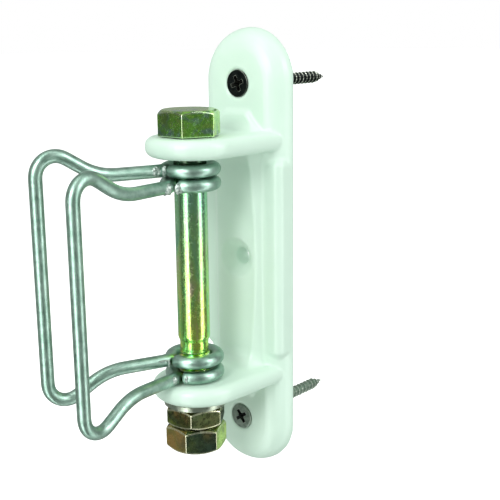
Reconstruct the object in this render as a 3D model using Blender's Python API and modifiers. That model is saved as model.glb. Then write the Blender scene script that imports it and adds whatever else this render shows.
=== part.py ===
"""Fence insulator for a wood post.

A moulded bracket carries an upright bolt between two ears. Two bent wire loops hang on the bolt by
their eyes and swing about it. A washer and two nuts close the bolt below the lower ear, and two wood
screws hold the bracket's back face to the post.

Metres, +Z up, front towards -Y. The origin is on the back face, at the middle hole. The dimensions
below are in millimetres.
"""

import math

import bmesh
import bpy
from mathutils import Matrix, Vector

MM = 0.001

# Gap left between pieces that touch in the real object
GAP = 0.3

# Bracket, plate
PLATE_HALF_WIDTH = 16.3
PLATE_HEIGHT = 144.6
PLATE_DEPTH = 8.15
PLATE_BACK_EDGE = 0.45
PLATE_END_SEGMENTS = 30
PLATE_EDGE_STEPS = 7

# Bracket, the squarer stretch of the plate between the ears
FLANGE_HALF_WIDTH = 16.25
FLANGE_DEPTH = 7.75
FLANGE_EDGE_RADIUS = 2.6
FLANGE_END = 30.5
FLANGE_END_FOOT = 36.5
FLANGE_BACK = 1.2

# Bracket, spine
SPINE_FRONT = 9.5
SPINE_BOW = 1.4
SPINE_HALF_WIDTH = 7.9
SPINE_FOOT_HALF_WIDTH = 10.3
SPINE_FOOT_DEPTH = 7.6
SPINE_SIDE_SLOPE = 0.92
SPINE_EDGE_BLEND = 0.7
SPINE_END = 46.6
SPINE_END_FOOT = 48.3
SPINE_END_TAPER = 3.4
SPINE_STEPS = 7
ROOT_DEPTH = 1.0

# Bracket, ears
EAR_INNER = 34.95
EAR_OUTER = 41.05
EAR_ROOT_HALF_WIDTH = 15.35
EAR_TIP_HALF_WIDTH = 14.7
EAR_TIP_CENTRE = 28.2
EAR_EDGE_RADIUS = 2.7
EAR_ARC_POINTS = 27
INNER_FILLET = 5.0
OUTER_FILLET = 3.2
FILLET_WIDENING = 3.0
FILLET_STEPS = 5

# Bracket, holes
SCREW_SPACING = 55.25
SCREW_HOLE_RADIUS = 2.7
COUNTERSINK_BOTTOM = 6.15
MIDDLE_COUNTERSINK_BOTTOM = 6.15
COUNTERSINK_SLOPE = 1.13
CUTTER_REACH = 13.0
CUTTER_OVERSHOOT = 1.0
BOLT_HOLE_RADIUS = 5.4

# Bolt
BOLT_DISTANCE = 30.0
SHANK_RADIUS = 5.0
THREAD_RADIUS = 4.7
ROLLED_RADIUS = 4.4
SHOULDER_TOP = -21.0
SHOULDER_BOTTOM = -22.3
THREAD_TOP = -26.3
THREAD_LEAD_IN = 0.3
BOLT_END = -59.3
BOLT_END_CHAMFER = 1.0
HEAD_HEIGHT = 7.75
HEAD_TURN = 1.4

# Hexagons
HEX_ACROSS_FLATS = 17.0
HEX_CORNER_RADIUS = HEX_ACROSS_FLATS / math.sqrt(3)
CHAMFER_CIRCLE = 8.1
CHAMFER_REACH = 11.0
CHAMFER_DROP = (CHAMFER_REACH - CHAMFER_CIRCLE) * math.tan(math.radians(30))

# Washer and nuts
WASHER_RADIUS = 10.0
WASHER_THICKNESS = 1.8
WASHER_EDGE = 0.2
UPPER_NUT_HEIGHT = 6.3
UPPER_NUT_TURN = 4.2
LOWER_NUT_HEIGHT = 7.95
LOWER_NUT_TURN = -6.7
NUT_BORE_RADIUS = 5.0
NUT_BORE_CHAMFER = 0.6

# Wire loops: turn is the swing from straight out to the front, towards -X. Angles round an eye start at
# the direction of the bar and grow towards +X
WIRE_RADIUS = 2.0
EYE_RADIUS = 7.35
EYE_START = 14.0
EYE_END = 339.0
EYE_STEPS = 33
NECK_BLEND = 2.6
ARM_REACH = 29.2
ARM_BLEND = 19.7
BAR_REACH = 47.5
CORNER_HEIGHT = 11.5
CORNER_BLEND = 5.8
BEND_STEPS = 8
LOOP_A = {"name": "wire_loop_a", "turn": 22.2, "lift": 1.7, "half_spacing": 29.6}
LOOP_B = {"name": "wire_loop_b", "turn": -2.3, "lift": -2.9, "half_spacing": 29.9}

# Wood screws
SCREW_HEAD_RADIUS = 4.25
SCREW_HEAD_FACE = 8.1
SCREW_HEAD_EDGE = 0.25
SCREW_NECK_RADIUS = 2.05
SCREW_TIP = 37.0
SCREW_TIP_LENGTH = 6.0
SCREW_TIP_RADIUS = 0.25
RECESS_TOP_SPAN = 2.5
RECESS_BOTTOM_SPAN = 0.9
RECESS_HALF_WIDTH = 0.55
RECESS_DEPTH = 2.1
RECESS_OVERSHOOT = 0.1
UPPER_RECESS_TURN = 20.0
LOWER_RECESS_TURN = 35.0
SCREW_SEGMENTS = 40

ROUND_SEGMENTS = 48
WELD = 0.00001


def clear_scene():
    for thing in list(bpy.data.objects):
        bpy.data.objects.remove(thing, do_unlink=True)


def new_collection(name):
    group = bpy.data.collections.new(name)
    bpy.context.scene.collection.children.link(group)
    return group


def make_material(name, colour, roughness, metallic):
    material = bpy.data.materials.new(name)
    material.use_nodes = True
    shader = material.node_tree.nodes["Principled BSDF"]
    shader.inputs["Base Color"].default_value = (*colour, 1.0)
    shader.inputs["Roughness"].default_value = roughness
    shader.inputs["Metallic"].default_value = metallic
    material.diffuse_color = (*colour, 1.0)
    return material


def object_from_bmesh(name, shape, group, material=None):
    """An object from a mesh in millimetres."""
    bmesh.ops.scale(shape, vec=(MM, MM, MM), verts=shape.verts)
    bmesh.ops.recalc_face_normals(shape, faces=shape.faces)
    mesh = bpy.data.meshes.new(name)
    shape.to_mesh(mesh)
    shape.free()
    if material:
        mesh.materials.append(material)
    item = bpy.data.objects.new(name, mesh)
    group.objects.link(item)
    return item


def take_shape(target, source):
    """Give the target a plain mesh of the source as it is evaluated now."""
    bpy.context.view_layer.update()
    graph = bpy.context.evaluated_depsgraph_get()
    mesh = bpy.data.meshes.new_from_object(source.evaluated_get(graph))
    old = target.data
    target.modifiers.clear()
    target.data = mesh
    mesh.name = target.name
    if old.users == 0 and isinstance(old, bpy.types.Mesh):
        bpy.data.meshes.remove(old)


def turned(name, profile, group, material=None, segments=ROUND_SEGMENTS):
    """A turned piece about local Z. The profile runs down the outer side, top to bottom."""
    shape = bmesh.new()
    points = [shape.verts.new((x * MM, 0.0, z * MM)) for x, z in profile]
    for a, b in zip(points, points[1:]):
        shape.edges.new((a, b))
    if profile[0] == profile[-1]:
        bmesh.ops.remove_doubles(shape, verts=shape.verts, dist=WELD)
    mesh = bpy.data.meshes.new(name)
    shape.to_mesh(mesh)
    shape.free()
    if material:
        mesh.materials.append(material)
    item = bpy.data.objects.new(name, mesh)
    group.objects.link(item)
    spin = item.modifiers.new("spin", "SCREW")
    spin.axis = "Z"
    spin.steps = segments
    spin.render_steps = segments
    spin.use_merge_vertices = True
    spin.merge_threshold = WELD
    take_shape(item, item)
    return item


def face_front(item, height):
    """Stand a turned piece's axis along the front-to-back direction, local +Z to the front."""
    item.rotation_euler = (math.radians(90), 0.0, 0.0)
    item.location = (0.0, 0.0, height * MM)


def on_bolt_axis(item):
    item.location = (0.0, -BOLT_DISTANCE * MM, 0.0)


def shade(item, degrees=32):
    item.data.shade_smooth()
    item.data.set_sharp_from_angle(angle=math.radians(degrees))


def triangulate(item):
    """Split every face, so that a boolean meets only flat ones."""
    shape = bmesh.new()
    shape.from_mesh(item.data)
    bmesh.ops.triangulate(shape, faces=shape.faces)
    shape.to_mesh(item.data)
    shape.free()


def combine(target, tool, operation):
    """Apply one exact boolean to the target's mesh."""
    triangulate(target)
    triangulate(tool)
    step = target.modifiers.new(operation.lower(), "BOOLEAN")
    step.operation = operation
    step.solver = "EXACT"
    step.object = tool
    take_shape(target, target)


def clean(item, distance=0.002):
    shape = bmesh.new()
    shape.from_mesh(item.data)
    bmesh.ops.remove_doubles(shape, verts=shape.verts, dist=distance * MM)
    bmesh.ops.dissolve_degenerate(shape, edges=shape.edges, dist=distance * MM)
    bmesh.ops.triangulate(
        shape, faces=[face for face in shape.faces if len(face.verts) > 4]
    )
    bmesh.ops.recalc_face_normals(shape, faces=shape.faces)
    shape.to_mesh(item.data)
    shape.free()


# Bracket


def plate_outline():
    """The round-ended outline, anticlockwise from the right side."""
    centre = PLATE_HEIGHT / 2 - PLATE_HALF_WIDTH
    outline = []
    for end, start in ((1, 0.0), (-1, math.pi)):
        for i in range(PLATE_END_SEGMENTS + 1):
            a = start + math.pi * i / PLATE_END_SEGMENTS
            outline.append(
                (
                    PLATE_HALF_WIDTH * math.cos(a),
                    end * centre + PLATE_HALF_WIDTH * math.sin(a),
                )
            )
    return outline


def build_plate(group, material):
    """A flat slab whose front edge is rounded over almost its whole thickness."""
    shape = bmesh.new()
    back = [shape.verts.new((x, 0.0, z)) for x, z in plate_outline()]
    face = shape.faces.new(back)
    grown = bmesh.ops.extrude_face_region(shape, geom=[face])["geom"]
    front = [item for item in grown if isinstance(item, bmesh.types.BMVert)]
    bmesh.ops.translate(shape, verts=front, vec=(0.0, -PLATE_DEPTH, 0.0))
    rim = [
        edge
        for edge in shape.edges
        if all(abs(v.co.y + PLATE_DEPTH) < WELD for v in edge.verts)
    ]
    bmesh.ops.bevel(
        shape,
        geom=rim,
        offset=PLATE_DEPTH - PLATE_BACK_EDGE,
        segments=PLATE_EDGE_STEPS,
        profile=0.5,
        affect="EDGES",
    )
    return object_from_bmesh("bracket", shape, group, material)


def blend(a, b, t):
    return a + (b - a) * t


def corner_points(before, corner, after, reach, steps=3):
    """A rounded corner between two straight edges."""
    before, corner, after = Vector(before), Vector(corner), Vector(after)
    start = corner + (before - corner).normalized() * reach
    end = corner + (after - corner).normalized() * reach
    points = []
    for i in range(steps + 1):
        t = i / steps
        points.append(start * (1 - t) ** 2 + corner * 2 * t * (1 - t) + end * t**2)
    return points


def spine_ring(height, front, half_width, foot=SPINE_FOOT_HALF_WIDTH):
    """The spine's section at one height: slanted sides and a flat front with softened edges."""
    root = [Vector((foot, -ROOT_DEPTH)), Vector((foot, -SPINE_FOOT_DEPTH))]
    corner = corner_points(
        root[1], (half_width, -front), (0, -front), SPINE_EDGE_BLEND
    )
    right = root + corner
    front_steps = EAR_ARC_POINTS - 2 * len(corner) + 1
    edge = corner[-1].x
    middle = [
        Vector((blend(edge, -edge, i / front_steps), -front))
        for i in range(1, front_steps)
    ]
    left = [Vector((-p.x, p.y)) for p in reversed(right)]
    return [(p.x, p.y, height) for p in right + middle + left]


def ear_ring(inset, height):
    """The ear's outline at one height: sides that close in a little towards a round front."""
    tip = EAR_TIP_HALF_WIDTH - inset
    mid_side = (EAR_ROOT_HALF_WIDTH + EAR_TIP_HALF_WIDTH) / 2 - inset
    right = [
        (EAR_ROOT_HALF_WIDTH - inset, -ROOT_DEPTH),
        (mid_side, -EAR_TIP_CENTRE / 2),
    ]
    arc = []
    for i in range(EAR_ARC_POINTS):
        a = -math.pi * i / (EAR_ARC_POINTS - 1)
        arc.append((tip * math.cos(a), -EAR_TIP_CENTRE + tip * math.sin(a)))
    left = [(-x, y) for x, y in reversed(right)]
    return [(x, y, height) for x, y in right + arc + left]


def loft(name, rings, group):
    """Skin between unlike sections, closed at both ends."""
    shape = bmesh.new()
    rows = [[shape.verts.new(p) for p in ring] for ring in rings]
    for low, high in zip(rows, rows[1:]):
        for i in range(len(low)):
            shape.faces.new((low[i - 1], low[i], high[i], high[i - 1]))
    shape.faces.new(rows[0])
    shape.faces.new(rows[-1])
    return object_from_bmesh(name, shape, group)


def spine_bow(height):
    return SPINE_BOW * (height / EAR_INNER) ** 2


def spine_half_width(bow):
    return SPINE_HALF_WIDTH - SPINE_SIDE_SLOPE * bow


def quarter_steps():
    return [math.pi / 2 * i / FILLET_STEPS for i in range(FILLET_STEPS + 1)]


def spine_rings():
    """Sections from mid height up to where the inner fillet meets the ear."""
    rings = []
    fillet_start = EAR_INNER - INNER_FILLET
    for i in range(SPINE_STEPS):
        height = fillet_start * i / SPINE_STEPS
        bow = spine_bow(height)
        rings.append(spine_ring(height, SPINE_FRONT + bow, spine_half_width(bow)))
    for a in quarter_steps():
        height = fillet_start + INNER_FILLET * math.sin(a)
        swell = 1 - math.cos(a)
        bow = spine_bow(height)
        front = SPINE_FRONT + bow + INNER_FILLET * swell
        half_width = spine_half_width(bow) + FILLET_WIDENING * swell
        rings.append(spine_ring(height, front, half_width))
    return rings


def ear_rings():
    """Sections through the ear's thickness, with both edges rounded."""
    rings = []
    for a in quarter_steps():
        inset = EAR_EDGE_RADIUS * (1 - math.sin(a))
        rings.append(
            ear_ring(inset, EAR_INNER + EAR_EDGE_RADIUS * (1 - math.cos(a)))
        )
    for a in quarter_steps():
        inset = EAR_EDGE_RADIUS * (1 - math.cos(a))
        rings.append(
            ear_ring(inset, EAR_OUTER - EAR_EDGE_RADIUS * (1 - math.sin(a)))
        )
    return rings


def spine_end_rings():
    """Sections from the outer fillet to the slanted end of the spine."""
    rings = []
    end_half_width = SPINE_HALF_WIDTH - SPINE_END_TAPER
    end_foot = SPINE_FOOT_HALF_WIDTH - SPINE_END_TAPER
    for a in reversed(quarter_steps()):
        swell = 1 - math.cos(a)
        rise = OUTER_FILLET * (1 - math.sin(a))
        taper = SPINE_END_TAPER * rise / (SPINE_END - EAR_OUTER)
        rings.append(
            spine_ring(
                EAR_OUTER + rise,
                SPINE_FRONT + OUTER_FILLET * swell,
                SPINE_HALF_WIDTH - taper + FILLET_WIDENING / 2 * swell,
                SPINE_FOOT_HALF_WIDTH - taper,
            )
        )
    blend_back = SPINE_EDGE_BLEND / 2
    rings.append(
        spine_ring(
            SPINE_END - SPINE_EDGE_BLEND, SPINE_FRONT, end_half_width, end_foot
        )
    )
    rings.append(
        spine_ring(
            SPINE_END, SPINE_FRONT - blend_back, end_half_width - blend_back, end_foot
        )
    )
    rings.append(
        spine_ring(
            SPINE_END_FOOT,
            SPINE_FOOT_DEPTH,
            end_half_width - blend_back,
            end_foot,
        )
    )
    return rings


def build_spine_and_ears(group):
    """One loft from the spine's lower end to its upper end, through both ears."""
    upper = spine_rings() + ear_rings() + spine_end_rings()
    lower = [[(x, y, -z) for x, y, z in ring] for ring in reversed(upper[1:])]
    return loft("spine_and_ears", lower + upper, group)


def flange_ring(height, depth, half_width):
    """The flange's section at one height: a slab with rounded front edges."""
    right = [(half_width, -FLANGE_BACK)]
    for a in quarter_steps():
        right.append(
            (
                half_width - FLANGE_EDGE_RADIUS * (1 - math.cos(a)),
                -depth + FLANGE_EDGE_RADIUS * (1 - math.sin(a)),
            )
        )
    left = [(-x, y) for x, y in reversed(right)]
    return [(x, y, height) for x, y in right + left]


def build_flange(group):
    """A slab as wide as the plate that slopes into it at both ends."""
    end_depth = FLANGE_BACK + FLANGE_EDGE_RADIUS
    rings = [
        flange_ring(-FLANGE_END_FOOT, end_depth, PLATE_HALF_WIDTH - FLANGE_EDGE_RADIUS),
        flange_ring(-FLANGE_END, FLANGE_DEPTH, FLANGE_HALF_WIDTH),
        flange_ring(FLANGE_END, FLANGE_DEPTH, FLANGE_HALF_WIDTH),
        flange_ring(FLANGE_END_FOOT, end_depth, PLATE_HALF_WIDTH - FLANGE_EDGE_RADIUS),
    ]
    return loft("flange", rings, group)


def screw_hole_cutter(name, height, bottom, group):
    """A through hole that opens into a countersink towards the front."""
    wide = SCREW_HOLE_RADIUS + (CUTTER_REACH - bottom) * COUNTERSINK_SLOPE
    profile = [
        (0.0, CUTTER_REACH),
        (wide, CUTTER_REACH),
        (SCREW_HOLE_RADIUS, bottom),
        (SCREW_HOLE_RADIUS, -CUTTER_OVERSHOOT),
        (0.0, -CUTTER_OVERSHOOT),
    ]
    cutter = turned(name, profile, group)
    face_front(cutter, height)
    return cutter


def bolt_hole_cutter(group):
    bpy.ops.mesh.primitive_cylinder_add(
        vertices=ROUND_SEGMENTS,
        radius=BOLT_HOLE_RADIUS * MM,
        depth=2 * (EAR_OUTER + CUTTER_REACH) * MM,
        location=(0.0, -BOLT_DISTANCE * MM, 0.0),
    )
    cutter = bpy.context.active_object
    cutter.name = "bolt_hole"
    for owner in list(cutter.users_collection):
        owner.objects.unlink(cutter)
    group.objects.link(cutter)
    return cutter


def build_bracket(group, cutters, material):
    bracket = build_plate(group, material)
    combine(bracket, build_flange(cutters), "UNION")
    combine(bracket, build_spine_and_ears(cutters), "UNION")
    combine(bracket, bolt_hole_cutter(cutters), "DIFFERENCE")
    for name, height, bottom in (
        ("top_screw_hole", SCREW_SPACING, COUNTERSINK_BOTTOM),
        ("middle_screw_hole", 0.0, MIDDLE_COUNTERSINK_BOTTOM),
        ("bottom_screw_hole", -SCREW_SPACING, COUNTERSINK_BOTTOM),
    ):
        cutter = screw_hole_cutter(name, height, bottom, cutters)
        combine(bracket, cutter, "DIFFERENCE")
    clean(bracket)
    shade(bracket)


# Bolt, washer and nuts


def hexagon(name, bottom, top, turn, group, material=None):
    """A hexagonal prism with one corner turned from +X. A cone's first corner starts on +Y."""
    shape = bmesh.new()
    bmesh.ops.create_cone(
        shape,
        cap_ends=True,
        segments=6,
        radius1=HEX_CORNER_RADIUS,
        radius2=HEX_CORNER_RADIUS,
        depth=top - bottom,
        matrix=Matrix.Translation((0.0, 0.0, (top + bottom) / 2))
        @ Matrix.Rotation(math.radians(turn - 90), 4, "Z"),
    )
    return object_from_bmesh(name, shape, group, material)


def build_bolt(group, cutters, material):
    head_bottom = EAR_OUTER + GAP
    head_top = head_bottom + HEAD_HEIGHT
    inside_head = (head_bottom + head_top) / 2
    bolt = hexagon("hex_bolt", head_bottom, head_top, HEAD_TURN, group, material)
    chamfer = turned(
        "head_chamfer",
        [
            (0.0, head_top),
            (CHAMFER_CIRCLE, head_top),
            (CHAMFER_REACH, head_top - CHAMFER_DROP),
            (CHAMFER_REACH, head_bottom - CUTTER_OVERSHOOT),
            (0.0, head_bottom - CUTTER_OVERSHOOT),
        ],
        cutters,
    )
    combine(bolt, chamfer, "INTERSECT")
    shank = turned(
        "bolt_shank",
        [
            (0.0, inside_head),
            (SHANK_RADIUS, inside_head),
            (SHANK_RADIUS, SHOULDER_TOP),
            (ROLLED_RADIUS, SHOULDER_BOTTOM),
            (ROLLED_RADIUS, THREAD_TOP),
            (THREAD_RADIUS, THREAD_TOP - THREAD_LEAD_IN),
            (THREAD_RADIUS, BOLT_END + BOLT_END_CHAMFER),
            (THREAD_RADIUS - BOLT_END_CHAMFER, BOLT_END),
            (0.0, BOLT_END),
        ],
        cutters,
    )
    combine(bolt, shank, "UNION")
    clean(bolt)
    on_bolt_axis(bolt)
    shade(bolt, 25)


def build_washer(group, material):
    top = -EAR_OUTER - GAP
    bottom = top - WASHER_THICKNESS
    washer = turned(
        "flat_washer",
        [
            (BOLT_HOLE_RADIUS, top),
            (WASHER_RADIUS - WASHER_EDGE, top),
            (WASHER_RADIUS, top - WASHER_EDGE),
            (WASHER_RADIUS, bottom + WASHER_EDGE),
            (WASHER_RADIUS - WASHER_EDGE, bottom),
            (BOLT_HOLE_RADIUS, bottom),
            (BOLT_HOLE_RADIUS, top),
        ],
        group,
        material,
    )
    on_bolt_axis(washer)
    shade(washer)
    return bottom


def build_nut(name, top, height, turn, group, cutters, material):
    """A hexagon with both ends chamfered and a bore with countersunk mouths."""
    bottom = top - height
    nut = hexagon(name, bottom, top, turn, group, material)
    chamfer = turned(
        name + "_chamfer",
        [
            (0.0, top),
            (CHAMFER_CIRCLE, top),
            (CHAMFER_REACH, top - CHAMFER_DROP),
            (CHAMFER_REACH, bottom + CHAMFER_DROP),
            (CHAMFER_CIRCLE, bottom),
            (0.0, bottom),
        ],
        cutters,
    )
    combine(nut, chamfer, "INTERSECT")
    mouth = NUT_BORE_RADIUS + NUT_BORE_CHAMFER
    bore = turned(
        name + "_bore",
        [
            (0.0, top + CUTTER_OVERSHOOT),
            (mouth + CUTTER_OVERSHOOT, top + CUTTER_OVERSHOOT),
            (NUT_BORE_RADIUS, top - NUT_BORE_CHAMFER),
            (NUT_BORE_RADIUS, bottom + NUT_BORE_CHAMFER),
            (mouth + CUTTER_OVERSHOOT, bottom - CUTTER_OVERSHOOT),
            (0.0, bottom - CUTTER_OVERSHOOT),
        ],
        cutters,
    )
    combine(nut, bore, "DIFFERENCE")
    clean(nut)
    on_bolt_axis(nut)
    shade(nut, 25)
    return bottom


# Wire loops


def rounded_path(points, reaches):
    """A path through the points, with each inner corner replaced by a round bend."""
    path = [Vector(points[0])]
    for before, corner, after, reach in zip(points, points[1:], points[2:], reaches):
        into = (corner - before).normalized()
        out = (after - corner).normalized()
        bend = into.angle(out)
        normal = (out - into * into.dot(out)).normalized()
        radius = reach / math.tan(bend / 2)
        centre = corner - into * reach + normal * radius
        for i in range(BEND_STEPS + 1):
            a = bend * i / BEND_STEPS
            path.append(
                centre - normal * radius * math.cos(a) + into * radius * math.sin(a)
            )
    path.append(Vector(points[-1]))
    return path


def bend_reach(radius, bend_degrees):
    return radius * math.tan(math.radians(bend_degrees) / 2)


def eye_points(height):
    """The eye, from its cut end round to where it bends out into the arm."""
    points = []
    for i in range(EYE_STEPS + 1):
        a = math.radians(EYE_START + (EYE_END - EYE_START) * i / EYE_STEPS)
        points.append(
            Vector((EYE_RADIUS * math.cos(a), EYE_RADIUS * math.sin(a), height))
        )
    return points


def half_loop(half_spacing):
    """Upper half of a loop in its own frame, +X towards the bar: eye, arm, corner, half the bar."""
    eye = eye_points(half_spacing)
    bend_place = EYE_RADIUS / math.cos(math.radians(EYE_END))
    diagonal = math.degrees(math.atan2(CORNER_HEIGHT, BAR_REACH - ARM_REACH))
    corners = [
        eye[-1],
        Vector((bend_place, 0.0, half_spacing)),
        Vector((ARM_REACH, 0.0, half_spacing)),
        Vector((BAR_REACH, 0.0, half_spacing + CORNER_HEIGHT)),
        Vector((BAR_REACH, 0.0, 0.0)),
    ]
    reaches = [
        NECK_BLEND,
        bend_reach(ARM_BLEND, diagonal),
        bend_reach(CORNER_BLEND, 90 + diagonal),
    ]
    return eye[:-1] + rounded_path(corners, reaches)


def build_loop(spec, group, material):
    half = half_loop(spec["half_spacing"])
    lower = [Vector((p.x, p.y, -p.z)) for p in reversed(half[:-1])]
    path = half + lower
    curve = bpy.data.curves.new(spec["name"], "CURVE")
    curve.dimensions = "3D"
    curve.bevel_depth = WIRE_RADIUS * MM
    curve.bevel_resolution = 3
    curve.use_fill_caps = True
    spline = curve.splines.new("POLY")
    spline.points.add(len(path) - 1)
    turn = Matrix.Rotation(math.radians(-90 - spec["turn"]), 3, "Z")
    for point, place in zip(spline.points, path):
        spot = turn @ place
        point.co = (spot.x * MM, spot.y * MM, (spot.z + spec["lift"]) * MM, 1.0)
    holder = bpy.data.objects.new(spec["name"] + "_curve", curve)
    group.objects.link(holder)
    bpy.context.view_layer.update()
    graph = bpy.context.evaluated_depsgraph_get()
    mesh = bpy.data.meshes.new_from_object(holder.evaluated_get(graph))
    bpy.data.objects.remove(holder, do_unlink=True)
    mesh.materials.clear()
    mesh.materials.append(material)
    loop = bpy.data.objects.new(spec["name"], mesh)
    group.objects.link(loop)
    clean(loop)
    on_bolt_axis(loop)
    shade(loop, 40)


# Wood screws


def recess_cutter(name, height, turn, group):
    """One wing of the cross recess: a bar that narrows in span towards its bottom."""
    shape = bmesh.new()
    bmesh.ops.create_cube(shape, size=2.0)
    for v in shape.verts:
        low = v.co.z < 0
        v.co.x *= RECESS_BOTTOM_SPAN if low else RECESS_TOP_SPAN
        v.co.y *= RECESS_HALF_WIDTH
        v.co.z = SCREW_HEAD_FACE - RECESS_DEPTH if low else SCREW_HEAD_FACE + RECESS_OVERSHOOT
    spin = Matrix.Rotation(math.radians(turn), 4, "Z")
    bmesh.ops.transform(shape, matrix=spin, verts=shape.verts)
    cutter = object_from_bmesh(name, shape, group)
    face_front(cutter, height)
    return cutter


def build_screw(name, height, turn, group, cutters, material):
    cone_depth = (SCREW_HEAD_RADIUS - SCREW_NECK_RADIUS) / COUNTERSINK_SLOPE
    rim = SCREW_HEAD_FACE - SCREW_HEAD_EDGE
    screw = turned(
        name,
        [
            (0.0, SCREW_HEAD_FACE),
            (SCREW_HEAD_RADIUS - SCREW_HEAD_EDGE, SCREW_HEAD_FACE),
            (SCREW_HEAD_RADIUS, rim),
            (SCREW_NECK_RADIUS, rim - cone_depth),
            (SCREW_NECK_RADIUS, SCREW_TIP_LENGTH - SCREW_TIP),
            (SCREW_TIP_RADIUS, -SCREW_TIP),
            (0.0, -SCREW_TIP),
        ],
        group,
        material,
        segments=SCREW_SEGMENTS,
    )
    face_front(screw, height)
    for i in range(2):
        wing = recess_cutter(f"{name}_recess_{i}", height, turn + 90 * i, cutters)
        combine(screw, wing, "DIFFERENCE")
    clean(screw, 0.001)
    shade(screw)


def main():
    clear_scene()
    group = new_collection("fence_insulator")
    cutters = new_collection("cutters")
    plastic = make_material("white_plastic", (0.83, 0.92, 0.86), 0.32, 0.0)
    zinc = make_material("yellow_zinc", (0.62, 0.60, 0.30), 0.28, 1.0)
    dark_zinc = make_material("dark_yellow_zinc", (0.42, 0.36, 0.16), 0.36, 1.0)
    galvanised = make_material("galvanised_wire", (0.62, 0.67, 0.65), 0.34, 1.0)
    black = make_material("black_phosphate", (0.05, 0.05, 0.055), 0.42, 0.7)
    grey = make_material("grey_zinc", (0.30, 0.31, 0.31), 0.40, 0.9)

    build_bracket(group, cutters, plastic)
    build_bolt(group, cutters, zinc)
    washer_bottom = build_washer(group, dark_zinc)
    nut_bottom = build_nut(
        "upper_nut",
        washer_bottom - GAP,
        UPPER_NUT_HEIGHT,
        UPPER_NUT_TURN,
        group,
        cutters,
        dark_zinc,
    )
    build_nut(
        "lower_nut",
        nut_bottom - GAP,
        LOWER_NUT_HEIGHT,
        LOWER_NUT_TURN,
        group,
        cutters,
        dark_zinc,
    )
    for spec in (LOOP_A, LOOP_B):
        build_loop(spec, group, galvanised)
    build_screw("upper_screw", SCREW_SPACING, UPPER_RECESS_TURN, group, cutters, black)
    build_screw("lower_screw", -SCREW_SPACING, LOWER_RECESS_TURN, group, cutters, grey)

    for tool in cutters.objects:
        tool.hide_render = True
        tool.display_type = "WIRE"


main()
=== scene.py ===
"""Looks for the fence insulator: fine meshes over the CAD frame, procedural materials, studio."""

import math

import bmesh
import bpy
import numpy as np
from mathutils import Matrix, Vector, noise


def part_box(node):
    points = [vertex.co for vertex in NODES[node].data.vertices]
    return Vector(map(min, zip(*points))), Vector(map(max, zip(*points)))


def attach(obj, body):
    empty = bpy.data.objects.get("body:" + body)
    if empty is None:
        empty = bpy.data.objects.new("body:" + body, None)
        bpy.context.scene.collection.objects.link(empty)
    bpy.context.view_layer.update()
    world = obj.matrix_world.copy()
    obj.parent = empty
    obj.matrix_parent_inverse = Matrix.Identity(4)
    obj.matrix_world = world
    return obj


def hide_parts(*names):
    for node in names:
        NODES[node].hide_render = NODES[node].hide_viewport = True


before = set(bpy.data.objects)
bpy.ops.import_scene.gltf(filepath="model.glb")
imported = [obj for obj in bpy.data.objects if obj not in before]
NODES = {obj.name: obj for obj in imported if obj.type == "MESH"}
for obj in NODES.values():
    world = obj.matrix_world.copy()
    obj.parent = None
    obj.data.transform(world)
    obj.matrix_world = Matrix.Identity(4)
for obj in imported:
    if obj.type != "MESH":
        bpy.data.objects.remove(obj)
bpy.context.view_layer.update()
MM = 0.001


# Node tree helpers


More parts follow.
